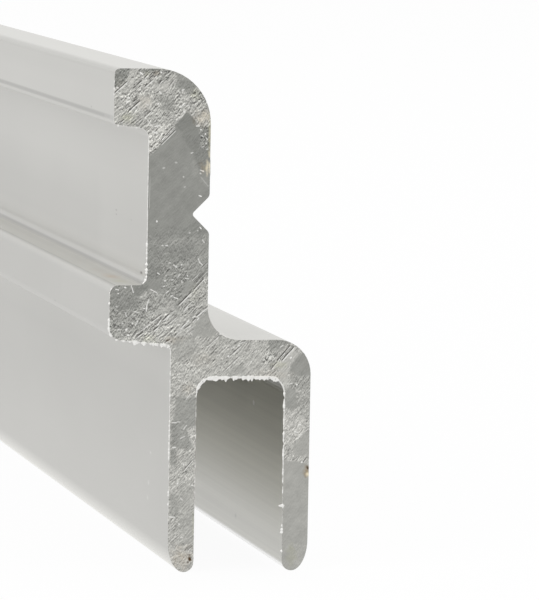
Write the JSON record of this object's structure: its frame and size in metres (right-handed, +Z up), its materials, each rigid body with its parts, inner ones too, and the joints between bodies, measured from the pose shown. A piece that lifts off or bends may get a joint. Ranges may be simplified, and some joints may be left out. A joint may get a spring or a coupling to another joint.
{
  "type": "aluminium extrusion profile",
  "caption": "Straight aluminium extrusion: a channel open below, a thick web with a drill groove, a rounded head and side lips.",
  "frame": {"origin": "middle of the bar's length, under the middle of its width, on the surface that the two leg tips stand on", "axes": "+Y along the bar, away from the hand-sawn end; +X across it, from the lips to the drill groove's side; +Z up, from the leg tips to the head"},
  "size_m": [0.0188, 1, 0.046],
  "materials": {
    "anodised_aluminium": "satin natural anodised skin, with the two ends left bare and rough from the saw"
  },
  "bodies": {
    "root": {"extruded_profile": "anodised_aluminium"}
  },
  "joints": []
}
